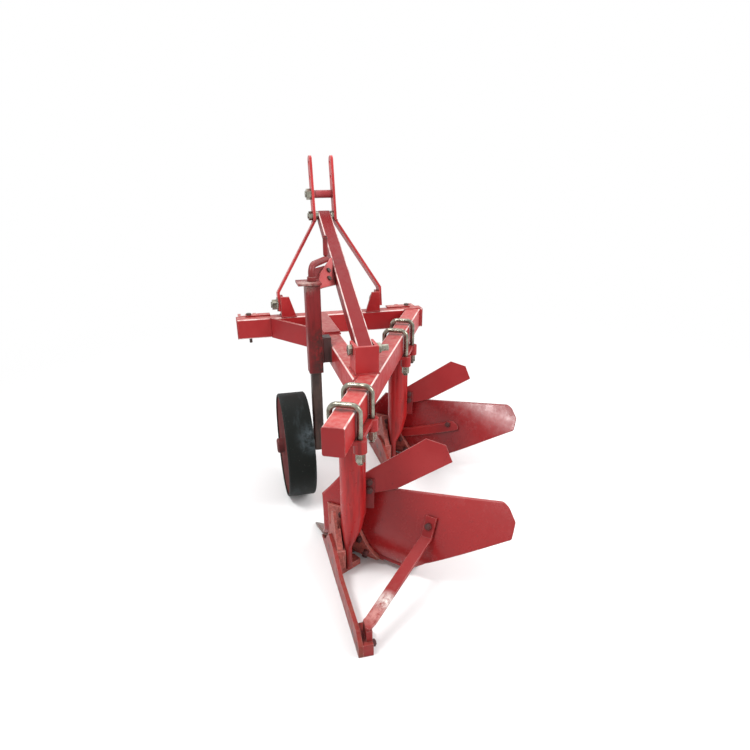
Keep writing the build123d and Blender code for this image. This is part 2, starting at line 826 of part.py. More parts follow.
def flat_stay_place():
    """Where the flat stay's bolt leaves the front of the board, its way back and the plates it clamps."""
    grip = board_thickness + 4 * fit_gap + flat_stay_thickness
    return on_board(*flat_stay_bolt), board_inward(*flat_stay_bolt), grip


def mouldboard(wing_bolt):
    """Twisted board trimmed to its outline as seen from the front."""
    wing_low = (board_wing_x - board_wing_lean, board_wing_top - board_wing_depth)
    bulge_x, bulge_drop = board_wing_bulge
    lower_mid = (board_wing_x - board_belly_run, board_wing_top - board_belly_depth)
    lower_end = (share_end + board_tail[0], board_joint + board_tail[1])
    edges = Polyline(
        lower_end,
        (share_end - board_foot_inset, board_joint),
        (landside_x, board_joint),
        (landside_x, board_shin_top),
        (landside_x + board_shin_run, board_crown),
        (landside_x + board_crown_run, board_crown),
        (board_wing_x, board_wing_top),
        (board_wing_x + bulge_x, board_wing_top - bulge_drop),
        wing_low,
    )
    outline = make_face(edges + ThreePointArc(wing_low, lower_mid, lower_end))
    wing = [v for v in outline.vertices() if v.X > wing_low[0] - board_wing_round]
    outline = fillet(wing, board_wing_round)
    board = board_layer(0, board_thickness, board_raw_low, board_wing_top + board_raw_over)
    board &= extrude(Plane.XZ * outline, far / 8, both=True)
    for face, inward, grip in share_and_board_bolts()[len(share_bolt_stations):]:
        board -= plough_hole(face, inward, grip, body_bolt)
    return board - plough_hole(*wing_bolt, body_bolt)


def frog_wing():
    """Plate of the frog behind the board, cut off slantwise at its right."""
    wing = board_layer(-frog_plate - fit_gap, -fit_gap, frog_wing_low, frog_wing_top)
    upper = on_board(frog_wing_left, frog_wing_top)
    lower = on_board(frog_wing_right, board_joint)
    wing -= beyond(lower, ahead_dir.cross(upper - lower))
    return wing - beyond((frog_left, 0, 0), (-1, 0, 0))


def frog():
    """Frog that carries share, mouldboard and landside on the foot of the leg."""
    body = extrude(Plane.YZ.offset(frog_left) * profile(frog_ear_outline), frog_ear)
    body += extrude(Plane.YZ.offset(frog_left) * profile(frog_wall_outline), frog_inner - frog_left)
    body += extrude(Plane.YZ.offset(frog_left) * profile(frog_cheek_outline), frog_cheek)
    corners = [(frog_left, frog_sole_rear), frog_sole_tip, frog_sole_front, (frog_left, frog_sole_front[1])]
    body += extrude(Plane.XY.offset(frog_floor) * profile(corners), leg_flat_foot - frog_floor)

    bottom = share_points()[2]
    down = Vector(-math.sin(slope), -math.cos(slope))
    forward = Vector(math.cos(slope), -math.sin(slope))
    near = bottom + down * fit_gap
    end = near + forward * seat_length
    seat = profile([(p.X, p.Y) for p in (near, end, end + down * frog_plate, near + down * frog_plate)])
    ledge = extrude(station_plane(board_start) * seat, frog_wing_right - board_start)
    upper = on_board(frog_wing_left, frog_wing_top)
    lower = on_board(frog_wing_right, board_joint)
    ledge -= beyond(lower, ahead_dir.cross(upper - lower))
    body += frog_wing()
    body += ledge - beyond((frog_left, 0, 0), (-1, 0, 0))
    body -= board_front(-fit_gap, board_raw_low, board_wing_top)
    above_share = profile([(p.X, p.Y) for p in (near, near + forward * far, near + Vector(0, far))])
    body -= extrude(station_plane(board_start) * above_share, far)
    for face, inward, grip in share_and_board_bolts():
        body -= plough_hole(face, inward, grip, body_bolt)
    depth = landside_screw - landside_thickness + 1
    for y, z in landside_bolts:
        body -= rod((frog_left - 1, y, z), (1, 0, 0), depth, body_bolt / 2 + thread_gap)
    return body


def landside(rear):
    """Upright bar that runs along the furrow wall, deeper at the frog."""
    outline = profile(
        [
            (rear, 0),
            (landside_front, 0),
            (landside_front, landside_nose),
            (landside_front - landside_bevel_run, landside_nose + landside_bevel_rise),
            (landside_front - landside_full_from, landside_front_height),
            (landside_front - landside_full_to, landside_front_height),
            (landside_front - landside_low_from, landside_height),
            (rear + landside_end_run, landside_height),
            (rear, landside_end_height),
        ]
    )
    bar = extrude(Plane.YZ.offset(landside_x) * outline, landside_thickness)
    for y, z in landside_bolts:
        bar -= plough_hole((landside_x, y, z), (1, 0, 0), landside_thickness, body_bolt)
    return bar


def heel_bolt_faces():
    """Where the heel's bolts enter the rear landside."""
    return [Vector(landside_x, landside_rear["rear"] + y, z) for y, z in heel_bolts]


def heel():
    """Block inside the rear end of the landside, with a narrower lug on top for the stay."""
    rear = landside_rear["rear"]
    right = frog_left + heel_width
    front = rear + heel_length
    block = box_between((frog_left, rear, 0), (right, front, heel_height))
    lug_rear = rear + heel_lug_inset
    block += box_between((right - heel_lug, lug_rear, 0), (right, lug_rear + heel_lug_length, heel_lug_top))
    for face in heel_bolt_faces():
        block -= rod(face, (1, 0, 0), landside_thickness + heel_width + 1, body_bolt / 2 + hole_gap)
    return block


def stay():
    """Flat bar from the heel's lug up to the back of the board, bent flat at both ends."""
    tab, run = stay_line()
    plane = Plane(origin=tab, x_dir=run, z_dir=Vector(run.Y, -run.X, 0))
    low = heel_lug_top + stay_thickness / 2
    path = [(-stay_tab, low), (stay_tab, low)]
    path += [(stay_reach(z), z) for z in (stay_pad_low, stay_pad_high)]
    bar = extrude(plane * strip(path, stay_thickness), stay_width / 2, both=True)
    bar -= beyond((frog_left + heel_width - heel_lug, 0, 0), (-1, 0, 0))
    face, inward, grip = stay_bolt()
    return bar - rod(face, inward, grip + stay_thickness, body_bolt / 2 + hole_gap)


def flat_stay():
    """Bar that lies along the back of the board, from the frog's edge to the middle of the wing."""
    low, high = Vector(*flat_stay_low), Vector(*flat_stay_high)
    middle = (low + high) / 2
    run = high - low
    tilt = math.degrees(math.atan2(run.Y, run.X))
    outline = Pos(middle.X, middle.Y) * Rot(0, 0, tilt) * SlotCenterToCenter(run.length, flat_stay_width)
    bar = board_layer(-flat_stay_thickness - fit_gap, -fit_gap, flat_stay_from, board_wing_top)
    bar &= extrude(Plane.XZ * outline, far / 8, both=True)
    bar -= frog_wing()
    face, inward, grip = flat_stay_place()
    return bar - rod(face, inward, grip + body_bolt, body_bolt / 2 + hole_gap)


# Trash board plane: its own x runs along the board to the right and its own y up its face.
trash_plane = Plane(origin=trash_corner, x_dir=(0.943, -0.334, 0), z_dir=(-0.323, -0.913, 0.25))


def trash_board():
    board = extrude(trash_plane * profile(trash_outline), trash_thickness / 2, both=True)
    for x, y in trash_bolts:
        board -= trash_plane * Pos(x, y) * Cylinder(body_bolt / 2 + hole_gap, 4 * trash_thickness)
    return board


def trash_bracket():
    """Plate behind the trash board, with a block that meets the front of the leg."""
    behind = trash_plane.offset(trash_thickness / 2)
    plate = Pos(*trash_plate_middle) * Rectangle(*trash_plate_size)
    bracket = extrude(behind * plate, trash_bracket_plate)
    block = Pos(*trash_block_middle) * Rectangle(*trash_block_size)
    bracket += extrude(behind * block, 2 * trash_bracket_plate + leg_radius)
    bracket -= rod((0, 0, 0), (0, 0, 1), beam_low, leg_radius)
    for x, y in trash_bolts:
        bracket -= trash_plane * Pos(x, y) * Cylinder(body_bolt / 2 + hole_gap, 8 * trash_thickness)
    return bracket


def body_bolts(prefix, wing_bolt):
    """All the bolts and nuts of one plough body."""
    solids = []
    for face, inward, grip in share_and_board_bolts():
        solids += plough_bolt(face, inward, grip, body_bolt)
    for y, z in landside_bolts:
        solids.append(plough_bolt((landside_x, y, z), (1, 0, 0), landside_screw - body_bolt, body_bolt)[0])
    if prefix == "rear":
        for face in heel_bolt_faces():
            solids += plough_bolt(face, (1, 0, 0), landside_thickness + heel_width, body_bolt)
    solids += plough_bolt(*wing_bolt, body_bolt)
    for x, y in trash_bolts:
        face = trash_plane.from_local_coords(Vector(x, y, -trash_thickness / 2))
        solids += bolt_and_nut(face, trash_plane.z_dir, trash_thickness + trash_bracket_plate, body_bolt)
    return solids


def plough_body(prefix, station):
    """Every node of one body, moved to its place on the main beam."""
    saddle, u_bolts, nuts = clamp()
    wing_bolt = stay_bolt() if prefix == "rear" else flat_stay_place()
    rear = landside_rear[prefix]
    side = landside(rear)
    pieces = {
        "leg": leg(),
        "clamp_saddle": saddle,
        "u_bolts": Compound(u_bolts),
        "u_bolt_nuts": Compound(nuts),
        "frog": frog(),
        "share": share(),
        "mouldboard": mouldboard(wing_bolt),
        "trash_board": trash_board(),
        "trash_bracket": trash_bracket(),
        "body_bolts": Compound(body_bolts(prefix, wing_bolt)),
    }
    if prefix == "rear":
        for face in heel_bolt_faces():
            side -= plough_hole(face, (1, 0, 0), landside_thickness, body_bolt)
        pieces["heel"] = heel()
        pieces["mouldboard_stay"] = stay()
    else:
        pieces["mouldboard_stay"] = flat_stay()
    pieces["landside"] = side
    place = Pos(*(along_beam * station))
    return {f"{prefix}_{name}": place * piece for name, piece in pieces.items()}


def tie_plane():
    """Sloping plane of the tie between the sleeve's head and the left face of the mast brace."""
    plane, _ = brace_plane()
    foot, _ = brace_pins()
    left = foot - plane.x_dir * (brace_tube / 2)
    below = plane.y_dir * (brace_tube / 2)
    start = Vector(column_x + sleeve_size / 2, tie_start_y, tie_start_z)
    low = left + plane.z_dir * tie_low_along + below * 0.75
    high = left + plane.z_dir * tie_high_along - below
    return Plane(origin=start, x_dir=low - start, z_dir=(low - start).cross(high - start))


def column():
    """Fixed sleeve of the depth wheel, its bracket, its tie to the mast brace and their bolts."""
    half = sleeve_size / 2
    sleeve = Pos(column_x, column_y, sleeve_low) * square_tube(
        sleeve_size, sleeve_wall, beam_corner, sleeve_high - sleeve_low
    )
    flange_top = sleeve_high + flange_thickness
    sleeve += box_between(
        (column_x - flange_left, column_y - flange_depth / 2, sleeve_high),
        (column_x + flange_right, column_y + flange_depth / 2, flange_top),
    )
    bore = screw_journal + running_gap
    sleeve -= rod((column_x, column_y, sleeve_high - 1), (0, 0, 1), flange_thickness + 2, bore)
    right = column_x + half
    face = tie_plane()
    sleeve += extrude(face * profile(tie_lug_outline), -tie_thickness)
    sleeve -= box_between(
        (column_x - half + sleeve_wall, column_y - half + sleeve_wall, sleeve_low),
        (right - sleeve_wall, column_y + half - sleeve_wall, sleeve_high),
    )
    tie_plate = extrude(face * profile(tie_outline), tie_thickness)
    across, _ = brace_plane()
    tie_plate -= beyond(across.origin - across.x_dir * (brace_tube / 2), across.x_dir)
    tie_plate -= beyond((right, 0, 0), (-1, 0, 0))

    bolts = []
    for place in tie_bolt_places:
        seat = face.from_local_coords(Vector(*place, tie_thickness))
        hole = rod(seat, -face.z_dir, 3 * tie_thickness, tie_bolt / 2 + hole_gap)
        sleeve -= hole
        tie_plate -= hole
        bolts += bolt_and_nut(seat, -face.z_dir, 2 * tie_thickness, tie_bolt)
    tie_plate -= sleeve

    bracket = box_between(
        (right, column_y - bracket_length / 2, bracket_low),
        (spine_left, column_y + bracket_length / 2, bracket_high),
    )
    return {
        "wheel_sleeve": sleeve,
        "sleeve_bracket": bracket,
        "tie_plate": tie_plate,
        "column_bolts": Compound(bolts),
    }


def depth_screw():
    """Sliding post, the nut in its head, the lead screw and the crank with its turning grip."""
    axis = Pos(column_x, column_y, 0)
    post = axis * Pos(0, 0, post_low) * square_tube(post_size, post_wall, post_wall + 1, post_high - post_low)
    room = post_size - 2 * post_wall - 2 * press_gap
    nut_face = RectangleRounded(room, room, 1.5) - Circle(screw_radius + running_gap)
    nut = axis * extrude(Plane.XY.offset(post_high - screw_nut_height) * nut_face, screw_nut_height)

    flange_top = sleeve_high + flange_thickness
    boss_low = flange_top + fit_gap
    journal_top = boss_low + journal_grip
    collar_low = sleeve_high - fit_gap - collar_height
    screw = rod((0, 0, screw_foot), (0, 0, 1), sleeve_high - fit_gap - screw_foot, screw_radius)
    screw += rod((0, 0, collar_low), (0, 0, 1), collar_height, collar_radius)
    screw += rod((0, 0, collar_low), (0, 0, 1), journal_top - collar_low, screw_journal)

    heading = math.radians(crank_azimuth)
    run = Vector(math.sin(heading), math.cos(heading), 0)
    corner = Vector(0, 0, crank_arm_level)
    end = run * crank_radius
    path = FilletPolyline((0, 0, boss_low), corner, corner + end, radius=crank_bend)
    arm = sweep(Plane(origin=(0, 0, boss_low), z_dir=(0, 0, 1)) * Circle(crank_arm_radius), path)
    arm += rod((0, 0, boss_low), (0, 0, 1), crank_collar_height, crank_collar_radius)
    arm += Pos(*(end + corner)) * Sphere(crank_arm_radius)
    grip_low = crank_arm_level + crank_arm_radius + fit_gap
    pin_top = grip_low + grip_length + fit_gap
    arm += rod(end + corner, (0, 0, 1), pin_top - crank_arm_level, crank_pin)
    arm += rod(end + Vector(0, 0, pin_top), (0, 0, 1), crank_pin, grip_radius * 0.8)
    arm -= rod((0, 0, boss_low - 1), (0, 0, 1), journal_top - boss_low + 1, screw_journal + press_gap)

    grip_face = Circle(grip_radius) - Circle(crank_pin + running_gap)
    grip = extrude(Plane(origin=end + Vector(0, 0, grip_low), z_dir=(0, 0, 1)) * grip_face, grip_length)
    ends = grip.edges().filter_by(GeomType.CIRCLE).filter_by(lambda e: e.radius > crank_pin + 1)
    return {
        "depth_post": post,
        "screw_nut": nut,
        "lead_screw": axis * screw,
        "crank_arm": axis * arm,
        "crank_grip": axis * fillet(ends, 3.0),
    }


def turned(points):
    """Solid turned about the wheel's axle from a half section of positions along X and radii."""
    outline = profile([(x, r) for x, r in points])
    return Pos(0, column_y, axle_height) * revolve(outline, Axis.X, 360)


def depth_wheel():
    """Stub axle on the post, and the drum wheel that turns on it."""
    post_left = column_x - post_size / 2
    thread_end = hub_left - hub_skirt + 5.0
    shoulder = hub_left - fit_gap
    axle = turned(
        [
            (post_left, 0),
            (post_left, axle_collar),
            (hub_right + fit_gap, axle_collar),
            (hub_right + fit_gap, axle_radius),
            (shoulder, axle_radius),
            (shoulder, axle_thread),
            (thread_end, axle_thread),
            (thread_end, 0),
        ]
    )
    washer_end = shoulder - 3.0
    fasteners = [
        turned(
            [
                (shoulder, axle_thread + thread_gap),
                (shoulder, hub_skirt_radius - 3.0),
                (washer_end, hub_skirt_radius - 3.0),
                (washer_end, axle_thread + thread_gap),
            ]
        )
    ]
    nut_face = hexagon(3 * axle_thread) - Circle(axle_thread + thread_gap)
    nut_plane = Plane(origin=(washer_end, column_y, axle_height), z_dir=(-1, 0, 0))
    fasteners.append(extrude(nut_plane * nut_face, 1.6 * axle_thread))

    skirt_end = hub_left - hub_skirt
    hub = turned(
        [
            (hub_right, bush_radius),
            (hub_right, hub_radius),
            (skirt_end, hub_radius),
            (skirt_end, hub_skirt_radius),
            (hub_left, hub_skirt_radius),
            (hub_left, bush_radius),
        ]
    )
    bushes = []
    for start in (hub_left, hub_right - bush_length):
        bushes.append(
            turned(
                [
                    (start, axle_radius + running_gap),
                    (start, bush_radius - press_gap),
                    (start + bush_length, bush_radius - press_gap),
                    (start + bush_length, axle_radius + running_gap),
                ]
            )
        )
    plug = hub_skirt_radius - press_gap
    hub_cap = turned(
        [
            (skirt_end + cap_depth / 2, 0),
            (skirt_end + cap_depth / 2, plug),
            (skirt_end, plug),
            (skirt_end, hub_radius),
            (skirt_end - cap_depth / 2, hub_radius),
            (skirt_end - cap_depth, hub_radius - cap_depth),
            (skirt_end - cap_depth, 0),
        ]
    )
    inner = wheel_radius - tread_thickness
    tread_left = wheel_x - wheel_width / 2
    tread_right = wheel_x + wheel_width / 2
    edge = tread_thickness / 2
    tread = turned(
        [
            (tread_left, inner),
            (tread_left, wheel_radius - edge),
            (tread_left + edge, wheel_radius),
            (tread_right - edge, wheel_radius),
            (tread_right, wheel_radius - edge),
            (tread_right, inner),
        ]
    )
    discs = []
    for start in (tread_left + disc_inset, tread_right - disc_inset - disc_thickness):
        discs.append(
            turned(
                [
                    (start, hub_radius + press_gap),
                    (start, inner - press_gap),
                    (start + disc_thickness, inner - press_gap),
                    (start + disc_thickness, hub_radius + press_gap),
                ]
            )
        )
    return {
        "stub_axle": axle,
        "axle_fasteners": Compound(fasteners),
        "wheel_hub": hub,
        "hub_bushes": Compound(bushes),
        "hub_cap": hub_cap,
        "wheel_tread": tread,
        "wheel_discs": Compound(discs),
    }


def main():
    nodes = {}
    for group in (frame_beams(), mast(), lower_hitch(), column(), depth_screw(), depth_wheel()):
        nodes.update(group)
    for prefix, station in body_stations.items():
        nodes.update(plough_body(prefix, station))
    middle = Compound(list(nodes.values())).bounding_box().center()
    os.makedirs("parts", exist_ok=True)
    for name, piece in nodes.items():
        export_step(Pos(-middle.X, -middle.Y, 0) * piece, f"parts/{name}.step")


main()
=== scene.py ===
import json
import math
from collections import namedtuple

import bmesh
import bpy
from mathutils import Matrix, Vector


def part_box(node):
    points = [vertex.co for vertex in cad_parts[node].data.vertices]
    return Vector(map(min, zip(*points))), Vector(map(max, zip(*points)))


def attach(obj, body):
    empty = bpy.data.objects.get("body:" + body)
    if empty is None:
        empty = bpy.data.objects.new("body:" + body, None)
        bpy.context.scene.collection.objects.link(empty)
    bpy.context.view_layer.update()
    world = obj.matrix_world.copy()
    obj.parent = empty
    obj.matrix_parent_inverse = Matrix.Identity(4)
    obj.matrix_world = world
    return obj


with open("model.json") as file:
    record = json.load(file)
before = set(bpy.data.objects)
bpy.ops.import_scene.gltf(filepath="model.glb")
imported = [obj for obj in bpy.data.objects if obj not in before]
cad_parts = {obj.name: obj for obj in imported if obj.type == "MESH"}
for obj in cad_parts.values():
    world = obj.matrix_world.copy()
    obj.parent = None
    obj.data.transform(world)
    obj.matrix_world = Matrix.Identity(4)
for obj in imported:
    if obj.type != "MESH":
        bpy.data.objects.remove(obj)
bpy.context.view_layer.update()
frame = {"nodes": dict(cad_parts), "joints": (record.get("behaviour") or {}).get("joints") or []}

# Marks, the camera and seams that no box gives are placed in metres from the tail of the main beam, on the
# floor under it. The cross beam's left end and rear face lie at these two numbers there, which ties such
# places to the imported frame.
CROSS_LEFT, CROSS_REAR = -0.178, 1.091
cross_low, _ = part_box("cross_beam")
TAIL = Vector((cross_low.x - CROSS_LEFT, cross_low.y - CROSS_REAR, 0.0))

HANDS = ("left", "right")
FURROWS = ("rear", "front")
UP, SIDE, AHEAD = (0.0, 0.0, 1.0), (1.0, 0.0, 0.0), (0.0, 1.0, 0.0)

# Turn of the main beam from the direction of travel, and the mast brace's run from its foot to its head.
MAIN_TURN = math.radians(27.0)
BRACE_RUN = Vector((0.032, 0.800, 0.301)).normalized()

# Pipe legs: where each stands, its radius and its top.
LEG_MIDDLES = {"rear": (0.0831, 0.1631), "front": (0.4086, 0.8019)}
LEG_RADIUS, LEG_TOP = 0.038, 0.478

# Threads, in metres: their pitches, the height that the U-bolts' threads reach, and how far they run out.
U_BOLT_PITCH, U_BOLT_THREAD_TOP, THREAD_RUN_OUT = 0.002, 0.470, 0.004
SCREW_PITCH = 0.006

# Weld beads: sizes in metres, ripples as shares of the radius, and their turns in radians from ring to ring.
BEAD_RADIUS, LEG_BEAD_RADIUS, BEAD_STEP = 0.0034, 0.0040, 0.0035
BEAD_SIDES = 8
HOOP_STEPS = 28
FINE_RIPPLE, FINE_TURN = 0.14, 2.4
SLOW_RIPPLE, SLOW_TURN = 0.10, 0.7

# Enamel colours, as linear red, green and blue.
RED = (0.43, 0.017, 0.017)
RED_CHALKY = (0.44, 0.032, 0.033)
RED_SHADE = (0.31, 0.012, 0.014)
RED_DULL = (0.24, 0.014, 0.016)
RED_DARK = (0.10, 0.010, 0.010)
CROSS_RED = (0.37, 0.024, 0.024)
BRACE_RED = (0.18, 0.010, 0.012)
SPACER_RED = (0.33, 0.07, 0.075)
LEG_RED = (0.38, 0.014, 0.014)
# A lighter copy of the board red for the rear board, which stands in for sheen: painted light.
BOARD_SHEEN_RED = (0.29, 0.012, 0.013)
BOARD_RED = (0.26, 0.011, 0.013)
BOARD_SHADE = (0.19, 0.009, 0.011)
TRASH_RED = (0.31, 0.024, 0.025)
BAR_RED = (0.27, 0.018, 0.019)
FLAT_STAY_RED = (0.33, 0.013, 0.013)
LANDSIDE_RED = (0.25, 0.022, 0.016)
FROG_RED = (0.46, 0.10, 0.075)
FROG_SHADE = (0.24, 0.045, 0.036)
COLUMN_RED = (0.24, 0.018, 0.019)
COLUMN_SHADE = (0.17, 0.014, 0.016)
TIE_RED = (0.50, 0.10, 0.10)
CRANK_SHADE = (0.16, 0.02, 0.02)
HUB_SHADE = (0.06, 0.010, 0.010)
DISC_RED = (0.075, 0.010, 0.010)
BOLT_RED = (0.11, 0.014, 0.013)
BOLT_SHADE = (0.030, 0.009, 0.008)

# Colours of wear and dirt, and of painted light: edge highlights, a glint, sheen on tops and shade where
# pieces meet.
RED_WEAR_AND_HIGHLIGHT = (0.80, 0.44, 0.40)
CORNER_HIGHLIGHT = (0.86, 0.70, 0.66)
CHAFE_AND_GLINT = (0.80, 0.74, 0.70)
FLANGE_WORN = (0.62, 0.50, 0.44)
HUB_WORN = (0.50, 0.40, 0.36)
DUST_AND_SHEEN = (0.60, 0.42, 0.37)
SOIL = (0.16, 0.075, 0.050)
GRIME_AND_SHADE = (0.045, 0.018, 0.015)
RUST = (0.14, 0.055, 0.03)

# Colours of metal, of the black drum and of the floor. The bright zinc edge colour is partly a painted
# highlight, and the drum's bluish grey partly a painted reflection.
BARE_STEEL = (0.24, 0.22, 0.20)
STEEL_EDGE = (0.26, 0.22, 0.19)
SCREW_STEEL = (0.55, 0.54, 0.50)
SHARE_BROWN = (0.20, 0.085, 0.070)
SHARE_SHADE = (0.09, 0.040, 0.032)
ZINC = (0.33, 0.32, 0.26)
ZINC_TARNISH = (0.11, 0.10, 0.075)
ZINC_WEAR_AND_HIGHLIGHT = (0.90, 0.90, 0.86)
POST_BROWN = (0.085, 0.050, 0.038)
POST_DARK = (0.026, 0.020, 0.017)
BRACKET_BROWN = (0.060, 0.016, 0.017)
BLACK = (0.009, 0.011, 0.010)
SCUFF_AND_REFLECTION = (0.075, 0.095, 0.105)
DRUM_SPECK = (0.14, 0.14, 0.13)
DRUM_EDGE = (0.20, 0.19, 0.18)
WHITE = (1.0, 1.0, 1.0)
FLOOR_PALE = (0.88, 0.88, 0.88)

Spot = namedtuple("Spot", "place reach colour strength")
Faces = namedtuple("Faces", "left right rear front bottom top")


def at(x, y, z):
    """A place measured from the tail of the main beam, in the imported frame."""
    return TAIL + Vector((x, y, z))


def faces(node):
    """Where the six faces of a CAD node's box lie."""
    low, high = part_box(node)
    return Faces(low.x, high.x, low.y, high.y, low.z, high.z)


def middle(node):
    """The middle of a CAD node's box."""
    low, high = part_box(node)
    return (low + high) / 2


def feed(tree, socket, value):
    """Links a socket to another, or sets it where the value is a plain number, place or colour."""
    if isinstance(value, bpy.types.NodeSocket):
        tree.links.new(value, socket)
    elif isinstance(value, tuple) and len(socket.default_value) == 4:
        socket.default_value = (*value, 1.0)
    else:
        socket.default_value = value


def add_node(tree, kind, output, inputs, **settings):
    """Makes a node, sets it, feeds its inputs and gives one of its outputs."""
    made = tree.nodes.new("ShaderNode" + kind)
    for name, value in settings.items():
        setattr(made, name, value)
    for name, value in inputs.items():
        feed(tree, made.inputs[name], value)
    return made.outputs[output]


class Surface:
    """One finish: a material's node tree, with the kinds of node that the finishes share."""

    def __init__(self, name):
        self.material = bpy.data.materials.new(name)
        self.material.use_nodes = True
        self.tree = self.material.node_tree
        self.tree.nodes.clear()
        self.shader = self.tree.nodes.new("ShaderNodeBsdfPrincipled")
        output = self.tree.nodes.new("ShaderNodeOutputMaterial")
        self.tree.links.new(self.shader.outputs["BSDF"], output.inputs["Surface"])
        self.place = self.node("TexCoord", "Object", {})
        self.facing = self.node("NewGeometry", "Normal", {})

    def node(self, kind, output, inputs, **settings):
        """One output of a new node of this finish."""
        return add_node(self.tree, kind, output, inputs, **settings)

    def set(self, **values):
        """Sets the shader's sockets; an underscore in a name stands for a space."""
        for name, value in values.items():
            feed(self.tree, self.shader.inputs[name.replace("_", " ")], value)

    def noise(self, scale, detail=3.0, roughness=0.55, stretch=(1.0, 1.0, 1.0)):
        """Smooth noise, so many cells to the metre."""
        place = self.node("Mapping", "Vector", {"Vector": self.place, "Scale": stretch})
        grain = {"Vector": place, "Scale": scale, "Detail": detail, "Roughness": roughness}
        return self.node("TexNoise", "Fac", grain)

    def span(self, value, low, high, start=0.0, end=1.0):
        """Value carried smoothly from low..high to start..end."""
        limits = {"Value": value, "From Min": low, "From Max": high, "To Min": start, "To Max": end}
        return self.node("MapRange", "Result", limits, interpolation_type="SMOOTHSTEP")

    def patches(self, scale, low, high, start=0.0, end=1.0, **grain):
        """Noise cut to soft patches: start where it is under low, end where it is over high."""
        return self.span(self.noise(scale, **grain), low, high, start, end)

    def sums(self, operation, first, second=0.0):
        """One step of arithmetic on numbers."""
        return self.node("Math", "Value", {0: first, 1: second}, operation=operation)

    def times(self, *values):
        """Numbers multiplied."""
        product = values[0]
        for value in values[1:]:
            product = self.sums("MULTIPLY", product, value)
        return product

    def measure(self, operation, first, second):
        """A number worked out from two vectors."""
        return self.node("VectorMath", "Value", {0: first, 1: second}, operation=operation)

    def mix(self, share, first, second):
        """Two colours mixed."""
        return self.node("Mix", "Result", {"Factor": share, "A": first, "B": second}, data_type="RGBA")

    def lay(self, colours, over, *shares):
        """A colour laid over others, as strong as its shares multiplied."""
        return self.mix(self.times(*shares), colours, over)

    def height(self):
        """Height over the floor, at rest."""
        return self.node("SeparateXYZ", "Z", {"Vector": self.place})

    def upward(self):
        """How far the surface looks up, from -1 to 1."""
        return self.node("SeparateXYZ", "Z", {"Vector": self.facing})

    def thread(self, pitch):
        """A wave up the piece, one for each turn of its thread."""
        return self.sums("SINE", self.times(self.height(), 2 * math.pi / pitch))

    def near(self, point, reach):
        """1 at a point, falling to 0 at the reach."""
        return self.span(self.measure("DISTANCE", self.place, point), reach, 0.0)

    def highlight_corners(self, *ways):
        """1 on the round corners of a tube whose faces look along two directions, where a highlight is
        painted.
        """
        looks = [self.sums("ABSOLUTE", self.measure("DOT_PRODUCT", self.facing, way)) for way in ways]
        return self.span(self.sums("MINIMUM", *looks), 0.20, 0.50)

    def rounded(self, radius):
        """The normal with its edges softened."""
        return self.node("Bevel", "Normal", {"Radius": radius}, samples=6)

    def edges(self, soft):
        """1 along edges and 0 on the flats, from a softened normal."""
        return self.span(self.measure("DOT_PRODUCT", soft, self.facing), 0.99, 0.80)

    def shaded_hollows(self, reach):
        """1 deep in the corners where pieces meet, 0 in the open."""
        return self.span(self.node("AmbientOcclusion", "AO", {"Distance": reach}, samples=6), 0.78, 0.38)

    def bump(self, height, depth, normal):
        """Small relief, depth in metres."""
        relief = {"Strength": 1.0, "Distance": depth, "Height": height, "Normal": normal}
        return self.node("Bump", "Normal", relief)


